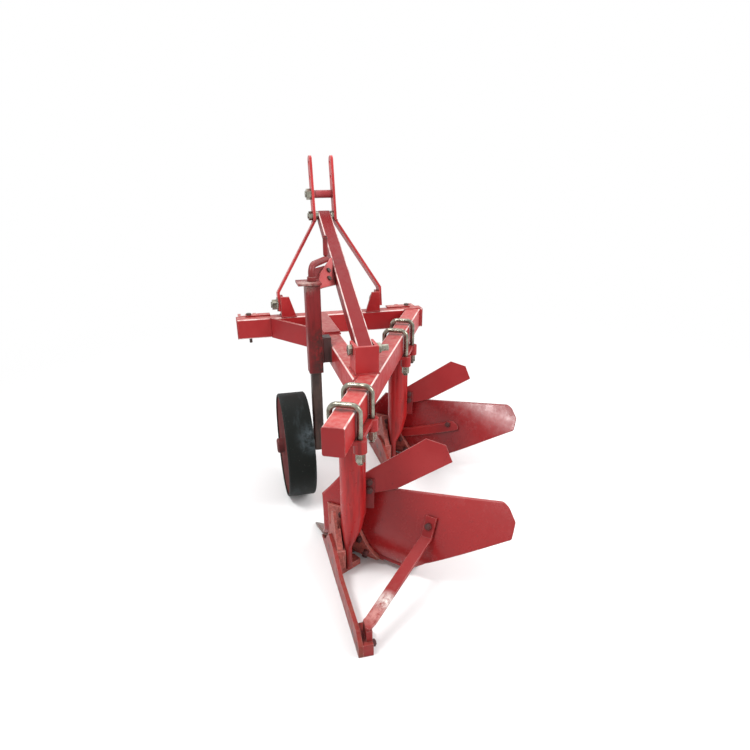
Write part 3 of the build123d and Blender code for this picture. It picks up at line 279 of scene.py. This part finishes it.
def paint(name, colour, shade, dust_and_sheen=0.12, wear=0.5, rough=0.36, shine=0.36, soil=0.0, streaks=0.0,
          chips=0.0, highlight_corners=None, spots=()):
    """Sprayed enamel: drifting tone, orange peel, pale edges of wear and painted highlight, dusty tops that
    also stand for painted sheen, and grime with painted shade where pieces meet.

    soil is the strength of dirt low down, streaks that of dark runs down the surface, and chips that of
    small dark flecks. Two facing directions of a tube pick its round corners, where a highlight is painted.
    spots holds single marks.
    """
    look = Surface(name)
    soft = look.rounded(radius=0.0022)
    tone = look.patches(5.0, 0.3, 0.7, detail=4.0)
    patch = look.noise(38.0, detail=5.0, roughness=0.65)
    colours = look.mix(tone, shade, colour)
    colours = look.lay(colours, shade, look.span(patch, 0.58, 0.80, end=0.35))
    if streaks:
        runs = look.patches(95.0, 0.46, 0.68, detail=5.0, roughness=0.65, stretch=(1.0, 1.0, 0.10))
        colours = look.lay(colours, RED_DARK, runs, streaks)
    if chips:
        flecks = look.patches(120.0, 0.64, 0.72, roughness=0.6)
        colours = look.lay(colours, RED_DARK, flecks, chips)
    # Dusty tops, which also stand for the painted sheen of the sky on surfaces that look up.
    dust_and_sheen_patches = look.patches(60.0, 0.30, 0.75, detail=6.0, roughness=0.7)
    top_dust_and_sheen = look.times(look.span(look.upward(), 0.35, 0.95), dust_and_sheen_patches, dust_and_sheen)
    colours = look.lay(colours, DUST_AND_SHEEN, top_dust_and_sheen)
    # Pale edges, partly wear and partly painted highlight.
    colours = look.lay(colours, RED_WEAR_AND_HIGHLIGHT, look.edges(soft), look.span(patch, 0.30, 0.62), wear)
    # A painted highlight along the round corners of tubes.
    if highlight_corners:
        broken_highlight = look.patches(14.0, 0.32, 0.56, start=0.15, end=0.85, detail=5.0, roughness=0.7)
        colours = look.lay(colours, CORNER_HIGHLIGHT, look.highlight_corners(*highlight_corners), broken_highlight)
    for spot in spots:
        ragged = look.patches(70.0, 0.30, 0.60, detail=5.0, roughness=0.7)
        colours = look.lay(colours, spot.colour, look.near(spot.place, spot.reach), ragged, spot.strength)
    if soil:
        low = look.span(look.height(), 0.16, 0.0)
        splashes = look.patches(30.0, 0.35, 0.7, detail=6.0, roughness=0.7)
        colours = look.lay(colours, SOIL, low, splashes, soil)
    # Grime and painted shade where pieces meet.
    shade_and_grime_patches = look.patches(45.0, 0.25, 0.60, detail=4.0, roughness=0.6)
    colours = look.lay(colours, GRIME_AND_SHADE, look.shaded_hollows(reach=0.014), shade_and_grime_patches, 0.8)
    gloss = look.span(patch, 0.2, 0.8, start=rough - 0.07, end=rough + 0.12)
    gloss = look.sums("ADD", gloss, look.times(top_dust_and_sheen, 0.5))
    relief = look.bump(look.noise(520.0, detail=2.0), depth=0.00006, normal=soft)
    look.set(Base_Color=colours, Roughness=gloss, Normal=relief, IOR=1.45, Specular_IOR_Level=shine)
    return look.material


def plated(name, thread_top=None):
    """Zinc plate on bolts and nuts: dull olive silver, tarnish, and bright edges of wear and painted
    highlight.

    Below thread_top an upright bolt carries its thread.
    """
    look = Surface(name)
    soft = look.rounded(radius=0.0014)
    tone = look.patches(34.0, 0.34, 0.70, detail=4.0, roughness=0.6)
    colours = look.mix(tone, ZINC, ZINC_TARNISH)
    # Bright edges, partly wear and partly painted highlight.
    colours = look.lay(colours, ZINC_WEAR_AND_HIGHLIGHT, look.edges(soft), 0.7)
    relief = look.bump(look.noise(900.0, detail=2.0), depth=0.00004, normal=soft)
    if thread_top is not None:
        cut = look.span(look.height(), thread_top, thread_top - THREAD_RUN_OUT)
        relief = look.bump(look.times(look.thread(U_BOLT_PITCH), cut), depth=0.0005, normal=relief)
    # Grime and painted shade where pieces meet.
    shade_and_grime_patches = look.patches(90.0, 0.25, 0.6, detail=4.0)
    colours = look.lay(colours, GRIME_AND_SHADE, look.shaded_hollows(reach=0.010), shade_and_grime_patches, 0.85)
    gloss = look.span(tone, 0.0, 1.0, start=0.20, end=0.36)
    look.set(Base_Color=colours, Metallic=0.9, Roughness=gloss, Normal=relief)
    return look.material


def tread(name, scuff_and_reflection_at):
    """Black drum of the wheel: satin, with pale bluish streaks along its turn and one pale patch, partly
    scuffs and partly painted reflection.
    """
    look = Surface(name)
    soft = look.rounded(radius=0.003)
    rub_and_reflection = look.patches(26.0, 0.52, 0.78, detail=6.0, roughness=0.7, stretch=(1.0, 0.25, 0.25))
    speck = look.patches(160.0, 0.64, 0.74, detail=4.0, roughness=0.7)
    ragged = look.patches(34.0, 0.35, 0.65, detail=5.0, roughness=0.7)
    # Bluish grey streaks along the turn and one pale patch, partly scuffs and partly painted reflection.
    colours = look.lay(BLACK, SCUFF_AND_REFLECTION, rub_and_reflection, 0.45)
    colours = look.lay(colours, SCUFF_AND_REFLECTION, look.near(scuff_and_reflection_at, reach=0.075), ragged)
    colours = look.lay(colours, DRUM_SPECK, speck, 0.5)
    colours = look.lay(colours, DRUM_EDGE, look.edges(soft), 0.35)
    gloss = look.span(rub_and_reflection, 0.0, 1.0, start=0.50, end=0.70)
    relief = look.bump(look.noise(240.0, detail=4.0), depth=0.00012, normal=soft)
    look.set(Base_Color=colours, Roughness=gloss, Normal=relief, Specular_IOR_Level=0.08)
    return look.material


def casting(name, colour, shade):
    """Rough cast surface under thin paint, with soil on it."""
    look = Surface(name)
    soft = look.rounded(radius=0.003)
    coarse = look.noise(130.0, detail=6.0, roughness=0.7)
    colours = look.mix(look.span(coarse, 0.35, 0.7), shade, colour)
    # Pale edges, partly wear and partly painted highlight.
    colours = look.lay(colours, RED_WEAR_AND_HIGHLIGHT, look.edges(soft), 0.5)
    colours = look.lay(colours, SOIL, look.patches(22.0, 0.5, 0.8, end=0.5, detail=4.0))
    relief = look.bump(coarse, depth=0.0012, normal=soft)
    look.set(Base_Color=colours, Roughness=0.62, Normal=relief)
    return look.material


def old_steel(name, colour, shade, wear=0.35):
    """Dark, greasy steel with patches of rust and rubbed edges."""
    look = Surface(name)
    soft = look.rounded(radius=0.0018)
    tone = look.patches(24.0, 0.3, 0.7, detail=6.0, roughness=0.7, stretch=(1.0, 1.0, 0.35))
    colours = look.mix(tone, shade, colour)
    colours = look.lay(colours, RUST, look.patches(110.0, 0.58, 0.75, end=0.5, detail=4.0, roughness=0.7))
    colours = look.lay(colours, STEEL_EDGE, look.edges(soft), wear)
    gloss = look.span(tone, 0.0, 1.0, start=0.38, end=0.62)
    relief = look.bump(look.noise(420.0), depth=0.00012, normal=soft)
    look.set(Base_Color=colours, Roughness=gloss, Normal=relief)
    return look.material


def share_steel(name, tip):
    """A share: painted at its back, brown with wear towards the point, which is bare steel."""
    look = Surface(name)
    soft = look.rounded(radius=0.002)
    scratch = look.noise(60.0, detail=6.0, roughness=0.7, stretch=(1.0, 0.3, 1.0))
    marked = look.sums("ADD", look.near(tip, reach=0.30), look.times(scratch, 0.5))
    bare = look.times(look.near(tip, reach=0.05), look.span(scratch, 0.30, 0.55))
    painted = look.mix(look.patches(12.0, 0.3, 0.7, detail=4.0), BOARD_SHADE, BOARD_RED)
    brown = look.mix(look.span(scratch, 0.3, 0.7), SHARE_SHADE, SHARE_BROWN)
    colours = look.mix(look.span(marked, 0.55, 0.85), painted, brown)
    colours = look.lay(colours, BARE_STEEL, bare)
    relief = look.bump(scratch, depth=0.0002, normal=soft)
    look.set(Base_Color=colours, Metallic=look.times(bare, 0.9), Roughness=0.45, Normal=relief)
    return look.material


def threaded(name, colour, pitch):
    """Bright turned steel with a thread round the upright axis."""
    look = Surface(name)
    soft = look.rounded(radius=0.0008)
    colours = look.mix(look.patches(50.0, 0.35, 0.7, detail=5.0), colour, ZINC_TARNISH)
    relief = look.bump(look.thread(pitch), depth=0.0006, normal=soft)
    look.set(Base_Color=colours, Metallic=1.0, Roughness=0.34, Normal=relief)
    return look.material


def dress(material, *names):
    """Gives CAD nodes a finish."""
    for name in names:
        for slot in frame["nodes"][name].material_slots:
            slot.material = material


def dress_frame():
    """Finishes of the beams, the mast and the hitch."""
    across = (math.cos(MAIN_TURN), -math.sin(MAIN_TURN), 0.0)
    level = Vector((BRACE_RUN.y, -BRACE_RUN.x, 0.0)).normalized()
    brace_ways = (level, BRACE_RUN.cross(level))
    stains = [
        Spot(at(0.045, 0.10, 0.570), 0.022, POST_DARK, 0.8),
        Spot(at(0.30, 0.62, 0.570), 0.05, RED_DARK, 0.4),
    ]
    # The beams' dusty tops also stand for painted sheen, and their round corners carry a painted highlight.
    dress(paint("main_enamel", RED, RED_SHADE, dust_and_sheen=0.34, highlight_corners=(UP, across), spots=stains), "main_beam")
    dress(paint("cross_enamel", CROSS_RED, RED_SHADE, dust_and_sheen=0.45, highlight_corners=(UP, AHEAD)), "cross_beam")
    dress(paint("spine_enamel", RED, RED_SHADE, dust_and_sheen=0.50, highlight_corners=(UP, SIDE)), "spine_beam")
    brace = paint("brace_enamel", BRACE_RED, BOARD_SHADE, dust_and_sheen=0.0, shine=0.12, highlight_corners=brace_ways)
    dress(brace, "mast_brace")
    dress(paint("cap_enamel", RED_SHADE, RED_DULL, dust_and_sheen=0.0), "beam_caps")
    dress(paint("plate_enamel", RED_SHADE, RED_DULL, dust_and_sheen=0.40, wear=0.9), "corner_brace", "corner_strap")
    dress(paint("spacer_enamel", SPACER_RED, RED_DULL, dust_and_sheen=0.1), "mast_spacer")
    mast = paint("mast_enamel", RED_CHALKY, RED_SHADE, dust_and_sheen=0.15, wear=0.9)
    # The hitch straps are made pale like the beam tops: dusty, with painted sheen.
    hitch = paint("hitch_enamel", RED, RED_SHADE, dust_and_sheen=0.75, wear=0.9)
    dress(mast, "brace_socket")
    for hand in HANDS:
        dress(mast, f"mast_lug_{hand}", f"mast_strut_{hand}", f"mast_bar_{hand}")
        dress(hitch, f"hitch_bracket_{hand}")


def dress_fasteners():
    """Finishes of bolts, nuts and washers: zinc on U-bolts, mast and axle, dark or painted on the rest."""
    zinc = plated("zinc_plate")
    u_bolt_zinc = plated("u_bolt_zinc", thread_top=U_BOLT_THREAD_TOP)
    painted = old_steel("painted_fasteners", BOLT_RED, BOLT_SHADE, wear=0.08)
    dress(zinc, "mast_bolts", "axle_fasteners")
    dress(old_steel("dark_fasteners", POST_BROWN, POST_DARK), "hitch_bolts", "column_bolts")
    for prefix in FURROWS:
        dress(u_bolt_zinc, f"{prefix}_u_bolts")
        dress(zinc, f"{prefix}_u_bolt_nuts")
        dress(painted, f"{prefix}_body_bolts")


def dress_bodies():
    """Finishes of the two plough bodies."""
    # Each leg is painted darker round its foot: painted shade.
    foot_shade = [Spot(at(x, y - 0.013, 0.050), 0.13, RED_DARK, 0.8) for x, y in LEG_MIDDLES.values()]
    # On the rear stay and heel: a pale pink painted sheen, a white spot partly chafe and partly painted
    # glint, and a painted shadow in the slot by the heel.
    marked = [
        Spot(at(0.072, -0.138, 0.085), 0.055, RED_WEAR_AND_HIGHLIGHT, 0.5),
        Spot(at(0.107, -0.108, 0.099), 0.040, CHAFE_AND_GLINT, 1.0),
        Spot(at(0.034, -0.150, 0.060), 0.022, GRIME_AND_SHADE, 1.0),
    ]
    leg = paint("leg_enamel", LEG_RED, RED_SHADE, dust_and_sheen=0.05, rough=0.30, soil=0.35, streaks=0.5, spots=foot_shade)
    trash = paint("trash_enamel", TRASH_RED, BOARD_RED, wear=0.4, chips=0.7)
    bracket = paint("bracket_enamel", RED_DULL, RED_DARK, dust_and_sheen=0.0, wear=0.2)
    bar = paint("bar_enamel", BAR_RED, RED_DULL, dust_and_sheen=0.04, wear=0.7, shine=0.25, soil=0.4, spots=marked)
    landside = paint("landside_enamel", LANDSIDE_RED, RED_DULL, dust_and_sheen=0.08, wear=0.6, shine=0.16, soil=0.70)
    frog = casting("frog_casting", FROG_RED, FROG_SHADE)
    # The rear board is painted a lighter copy of the front board's red, standing in for sheen.
    board_colours_with_sheen = {"rear": (BOARD_SHEEN_RED, BOARD_RED), "front": (BOARD_RED, BOARD_SHADE)}
    board_wear = {"dust_and_sheen": 0.06, "wear": 0.3, "rough": 0.22, "shine": 0.5, "soil": 0.25, "chips": 0.5}
    for prefix in FURROWS:
        share = faces(f"{prefix}_share")
        tip = Vector((share.left, share.front, share.bottom))
        dress(share_steel(f"{prefix}_share_steel", tip), f"{prefix}_share")
        dress(leg, f"{prefix}_leg", f"{prefix}_clamp_saddle")
        dress(paint(f"{prefix}_board_enamel", *board_colours_with_sheen[prefix], **board_wear), f"{prefix}_mouldboard")
        dress(trash, f"{prefix}_trash_board")
        dress(bracket, f"{prefix}_trash_bracket")
        dress(landside, f"{prefix}_landside")
        dress(frog, f"{prefix}_frog")
    dress(bar, "rear_heel", "rear_mouldboard_stay")
    dress(paint("flat_stay_enamel", FLAT_STAY_RED, RED_DULL, dust_and_sheen=0.05), "front_mouldboard_stay")


def dress_wheel():
    """Finishes of the depth wheel, its column and its crank."""
    marks = [Spot(at(0.045, 0.660, 0.790), 0.05, FLANGE_WORN, 0.6)]
    marks += [Spot(at(0.090, 0.650, z), 0.075, POST_DARK, 0.85) for z in (0.49, 0.545, 0.60)]
    grip_top = [Spot(at(0.136, 0.790, 0.915), 0.030, POST_DARK, 0.9)]
    hub_wear = [Spot(middle("hub_cap"), 0.024, HUB_WORN, 0.6)]
    column_wear = {"dust_and_sheen": 0.03, "rough": 0.45, "streaks": 0.8}
    column = paint("column_enamel", COLUMN_RED, COLUMN_SHADE, spots=marks, **column_wear)
    hub = paint("hub_enamel", RED_DARK, HUB_SHADE, dust_and_sheen=0.0, wear=0.7, rough=0.6, spots=hub_wear)
    dress(column, "wheel_sleeve")
    dress(paint("tie_enamel", TIE_RED, RED_CHALKY, dust_and_sheen=0.2, wear=0.7), "tie_plate")
    dress(paint("crank_enamel", RED_DULL, CRANK_SHADE, dust_and_sheen=0.1, spots=grip_top), "crank_arm", "crank_grip")
    dress(old_steel("bracket_steel", BRACKET_BROWN, POST_DARK, wear=0.1), "sleeve_bracket")
    dress(old_steel("post_steel", POST_BROWN, POST_DARK), "depth_post", "screw_nut", "stub_axle")
    dress(hub, "wheel_hub", "hub_cap")
    dress(paint("disc_enamel", DISC_RED, RED_DARK, dust_and_sheen=0.0, rough=0.8, shine=0.1, soil=0.5), "wheel_discs")
    # The drum's pale patch is partly a scuff and partly a painted reflection.
    dress(tread("tread_black", scuff_and_reflection_at=at(0.026, 0.516, 0.296)), "wheel_tread")
    dress(threaded("screw_steel", SCREW_STEEL, SCREW_PITCH), "lead_screw")
    dress(plated("bush_metal"), "hub_bushes")


def bead(mesh, points, radius):
    """Adds one weld bead along a line of points: a rippled tube with closed ends for each run."""
    rings = []
    for start, end in zip(points, points[1:]):
        run = end - start
        count = max(2, round(run.length / BEAD_STEP))
        side = run.orthogonal().normalized()
        other = run.cross(side).normalized()
        for i in range(count + 1):
            fine = FINE_RIPPLE * math.sin(FINE_TURN * len(rings))
            slow = SLOW_RIPPLE * math.sin(SLOW_TURN * len(rings))
            swell = radius * (1.0 + fine + slow)
            ring = []
            for k in range(BEAD_SIDES):
                turn = 2 * math.pi * k / BEAD_SIDES
                arm = side * math.cos(turn) + other * math.sin(turn)
                ring.append(mesh.verts.new(start + run * (i / count) + arm * swell))
            if i > 0:
                for k in range(BEAD_SIDES):
                    mesh.faces.new((rings[-1][k], rings[-1][k - 1], ring[k - 1], ring[k]))
            else:
                mesh.faces.new(ring[::-1])
            rings.append(ring)
        mesh.faces.new(rings[-1])


def add_welds(name, lines, finish, radius=BEAD_RADIUS):
    """Weld beads of one joint, on the frame."""
    mesh = bmesh.new()
    for line in lines:
        bead(mesh, [Vector(point) for point in line], radius)
    bmesh.ops.recalc_face_normals(mesh, faces=mesh.faces)
    data = bpy.data.meshes.new(name)
    mesh.to_mesh(data)
    mesh.free()
    for face in data.polygons:
        face.use_smooth = True
    data.materials.append(finish)
    piece = bpy.data.objects.new(name, data)
    bpy.context.scene.collection.objects.link(piece)
    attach(piece, "frame")


def beam_lines():
    """Where the beams, the corner strap and the corner brace are welded."""
    cross, spine, strap, brace = map(faces, ("cross_beam", "spine_beam", "corner_strap", "corner_brace"))
    seam_start = 0.006
    top, low = cross.top, cross.bottom + seam_start
    # Where the main beam's sides reach the cross beam, and the fore-and-aft beam's sides the main beam.
    main_left, main_right = TAIL.x + 0.522, TAIL.x + 0.590
    left_end, right_end = TAIL.y + 0.305, TAIL.y + 0.423

    def upright(x, y):
        """A seam up the side of a beam."""
        return [(x, y, low), (x, y, top)]

    strap_corners = ((spine.right, strap.rear), (spine.left, strap.rear), (spine.left, cross.rear))
    return [
        upright(main_left, cross.rear) + upright(main_right, cross.rear)[::-1],
        upright(spine.left, cross.rear),
        upright(spine.right, cross.rear) + [(x, y, top) for x, y in strap_corners],
        upright(spine.left, left_end) + upright(spine.right, right_end)[::-1],
        upright(brace.left, cross.rear),
        upright(spine.left, brace.rear),
    ]


def mast_lines():
    """Where the brace socket and the lugs stand on the beams, and where the mast bars meet their struts."""

    def outside_in(box, hand):
        """The outer and the inner side of a piece on one hand."""
        return (box.left, box.right) if hand == "left" else (box.right, box.left)

    socket = faces("brace_socket")
    foot = [(socket.left, socket.front), (socket.left, socket.rear), (socket.right, socket.rear),
            (socket.right, socket.front)]
    lines = [[(x, y, socket.bottom) for x, y in foot]]
    for hand in HANDS:
        lug = faces(f"mast_lug_{hand}")
        outer, inner = outside_in(lug, hand)
        foot = [(outer, lug.front), (outer, lug.rear), (inner, lug.rear)]
        lines.append([(x, y, lug.bottom) for x, y in foot])
    knee_rear, knee_front = TAIL.y + 1.166, TAIL.y + 1.215
    knee_low, knee_high = 0.920, 0.930
    for hand in HANDS:
        outer, inner = outside_in(faces(f"mast_bar_{hand}"), hand)
        knee = [(outer, knee_front, knee_low), (outer, knee_rear, knee_high), (inner, knee_rear, knee_high)]
        lines.append(knee)
    return lines


def column_lines():
    """Where the wheel column is welded to its bracket and its flange, and the bracket to the beam."""
    bracket, spine = faces("sleeve_bracket"), faces("spine_beam")
    crank = next(joint for joint in frame["joints"] if joint["name"] == "crank_turn")
    x, y, _ = crank["pos_m"]
    half = bracket.left - x
    under_flange = 0.782
    corners = ((-half, -half), (half, -half), (half, half), (-half, half), (-half, -half))
    rear_edge = [(bracket.left, bracket.rear, bracket.bottom), (bracket.left, bracket.rear, bracket.top)]
    return [
        rear_edge + [(bracket.left, bracket.front, bracket.top)],
        [(bracket.right, bracket.rear, bracket.bottom), (bracket.right, bracket.rear, spine.top)],
        [(x + across, y + along, under_flange) for across, along in corners],
    ]


def leg_line(x, y):
    """Round the top of a pipe leg, under its clamp."""
    turns = [2 * math.pi * i / HOOP_STEPS for i in range(HOOP_STEPS + 1)]
    return [at(x + LEG_RADIUS * math.cos(turn), y + LEG_RADIUS * math.sin(turn), LEG_TOP) for turn in turns]


def weld_joints():
    """Beads where the tubes and plates of the frame meet."""
    finish = paint("weld_enamel", RED_SHADE, RED_DULL, dust_and_sheen=0.1, wear=0.2)
    dark_finish = paint("column_weld_enamel", RED_DARK, POST_DARK, dust_and_sheen=0.0, wear=0.1)
    add_welds("beam_welds", beam_lines(), finish)
    add_welds("mast_welds", mast_lines(), finish)
    add_welds("column_welds", column_lines(), dark_finish)
    for prefix, (x, y) in LEG_MIDDLES.items():
        add_welds(f"{prefix}_leg_weld", [leg_line(x, y)], finish, LEG_BEAD_RADIUS)


def set_floor():
    """A wide pale floor under the plough, which fades into the white background."""
    half, fade = 14.0, 3.2
    corners = [(-half, -half, 0.0), (half, -half, 0.0), (half, half, 0.0), (-half, half, 0.0)]
    mesh = bpy.data.meshes.new("floor")
    mesh.from_pydata(corners, [], [(0, 1, 2, 3)])
    floor = bpy.data.objects.new("floor", mesh)
    bpy.context.scene.collection.objects.link(floor)
    look = Surface("floor_pale")
    look.set(Base_Color=FLOOR_PALE, Roughness=0.9, Specular_IOR_Level=0.1)
    look.set(Alpha=look.near((0.0, 0.0, 0.0), reach=fade))
    mesh.materials.append(look.material)


def add_light(name, place, aim, width, height, watts):
    """A soft box that looks from its place at its aim."""
    lamp = bpy.data.lights.new(name, "AREA")
    lamp.shape = "RECTANGLE"
    lamp.size = width
    lamp.size_y = height
    lamp.energy = watts
    light = bpy.data.objects.new(name, lamp)
    light.location = place
    light.rotation_euler = (Vector(aim) - Vector(place)).to_track_quat("-Z", "Y").to_euler()
    bpy.context.scene.collection.objects.link(light)


def set_world(sky_strength):
    """An even sky that lights the plough, behind a background that is seen and mirrored as plain white."""
    world = bpy.data.worlds.new("studio")
    world.use_nodes = True
    tree = world.node_tree
    sky = tree.nodes["Background"]
    feed(tree, sky.inputs["Color"], WHITE)
    feed(tree, sky.inputs["Strength"], sky_strength)
    backdrop = add_node(tree, "Background", "Background", {"Color": WHITE, "Strength": 1.0})
    path = tree.nodes.new("ShaderNodeLightPath")
    seen = path.outputs["Is Camera Ray"]
    for ray in ("Is Glossy Ray", "Is Transmission Ray"):
        seen = add_node(tree, "Math", "Value", {0: seen, 1: path.outputs[ray]}, operation="MAXIMUM")
    shares = {"Fac": seen, 1: sky.outputs["Background"], 2: backdrop}
    feed(tree, tree.nodes["World Output"].inputs["Surface"], add_node(tree, "MixShader", "Shader", shares))
    bpy.context.scene.world = world


def set_lights():
    """White background, even sky, and three soft boxes, placed from the frame's origin."""
    set_world(sky_strength=0.66)
    add_light("overhead", (0.4, 1.6, 3.6), aim=(0.0, 0.1, 0.4), width=3.0, height=3.0, watts=55.0)
    add_light("key", (2.8, -1.8, 2.6), aim=(0.0, 0.0, 0.5), width=2.0, height=2.0, watts=105.0)
    add_light("sheen", (-1.5, -0.8, 2.6), aim=(0.3, 0.0, 0.3), width=1.2, height=0.4, watts=50.0)


def set_camera():
    """The camera stands where the photograph was taken from."""
    place = at(-0.2227, -1.2705, 1.1753)
    yaw, pitch, roll = math.radians(-14.33), math.radians(90.0 - 25.68), math.radians(-0.11)
    turn = Matrix.Rotation(yaw, 4, "Z") @ Matrix.Rotation(pitch, 4, "X") @ Matrix.Rotation(roll, 4, "Z")
    lens = bpy.data.cameras.new("camera")
    lens.sensor_width = 36.0
    lens.lens = 28.04
    lens.shift_x = 0.0027
    lens.shift_y = 0.0772
    camera = bpy.data.objects.new("camera", lens)
    bpy.context.scene.collection.objects.link(camera)
    camera.matrix_world = Matrix.Translation(place) @ turn
    bpy.context.scene.camera = camera
    bpy.context.scene.view_settings.view_transform = "Standard"


set_camera()
dress_frame()
dress_fasteners()
dress_bodies()
dress_wheel()
weld_joints()
set_floor()
set_lights()
